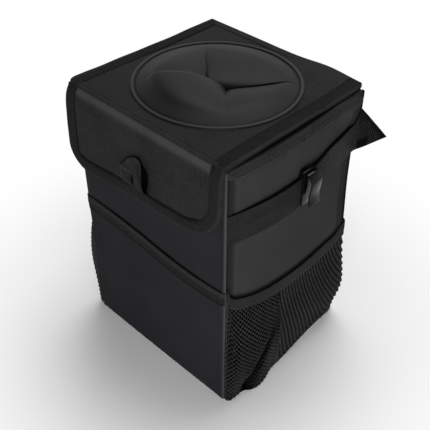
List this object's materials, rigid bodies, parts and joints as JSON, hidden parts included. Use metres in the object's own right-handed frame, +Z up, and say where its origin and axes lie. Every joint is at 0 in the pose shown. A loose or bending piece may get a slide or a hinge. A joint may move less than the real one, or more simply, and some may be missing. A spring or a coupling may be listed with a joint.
{
  "type": "car trash bin",
  "caption": "Soft rectangular car trash bin with stiffened cloth walls, a hinged lid with a slit disc, a front flap, cloth and mesh pockets, and webbing to hang it.",
  "frame": {"origin": "middle of the underside, on the surface the bin stands on", "axes": "+X to the right seen from the front, +Y to the back, +Z up"},
  "size_m": [0.199, 0.1803, 0.2572],
  "materials": {
    "outer_cloth": "tightly woven black cloth, slightly coated",
    "smooth_cloth": "smooth black coated cloth with a satin sheen",
    "liner_film": "dark waterproof film",
    "board": "stiff sheet inside the walls",
    "tape": "ribbed black binding tape",
    "webbing": "ribbed black webbing",
    "mesh": "open black mesh",
    "elastic": "black elastic tape",
    "clip_plastic": "glossy black plastic",
    "slider_plastic": "black plastic",
    "closure": "black hook and loop tape"
  },
  "bodies": {
    "body": {"front_panel": "smooth_cloth", "back_panel": "smooth_cloth", "side_panel_right": "outer_cloth", "side_panel_left": "outer_cloth", "bottom_panel": "outer_cloth", "front_board": "board", "back_board": "board", "side_board_right": "board", "side_board_left": "board", "bottom_board": "board", "inner_liner": "liner_film", "rim_binding": "tape", "hinge_strip": "outer_cloth", "front_pocket": "smooth_cloth", "front_pocket_binding": "tape", "mesh_pocket_right": "mesh", "mesh_pocket_left": "mesh", "mesh_binding_right": "elastic", "mesh_binding_left": "elastic", "webbing_right": "webbing", "webbing_left": "webbing", "loop_tape": "closure"},
    "lid": {"lid_cover": "outer_cloth", "lid_board": "board", "lid_lining": "liner_film", "lid_binding_right": "tape", "lid_binding_left": "tape", "slit_disc": "smooth_cloth"},
    "flap": {"flap_cover": "outer_cloth", "flap_board": "board", "flap_lining": "liner_film", "flap_binding": "tape", "pull_tab": "outer_cloth", "hook_tape": "closure"},
    "clip_right": {"side_clip_right": "clip_plastic"},
    "clip_left": {"side_clip_left": "clip_plastic"},
    "slider": {"strap_slider": "slider_plastic"}
  },
  "joints": [
    {"name": "lid_hinge", "type": "hinge", "parent": "body", "child": "lid", "pos_m": [0, 0.07765, 0.2454], "axis": [-1, 0, 0], "range_deg": [0, 180]},
    {"name": "flap_hinge", "type": "hinge", "parent": "lid", "child": "flap", "pos_m": [0, -0.07845, 0.2504], "axis": [-1, 0, 0], "range_deg": [0, 180]},
    {"name": "clip_right_travel", "type": "hinge", "parent": "body", "child": "clip_right", "pos_m": [-0.34678, 0.006, 0.19], "axis": [0, 0, 1], "range_deg": [-6, 6]},
    {"name": "clip_left_travel", "type": "hinge", "parent": "body", "child": "clip_left", "pos_m": [0.34678, 0.006, 0.19], "axis": [0, 0, 1], "range_deg": [-6, 6]},
    {"name": "slider_travel", "type": "slide", "parent": "body", "child": "slider", "axis": [1, 0, 0], "range_m": [-0.06, 0.024]}
  ]
}
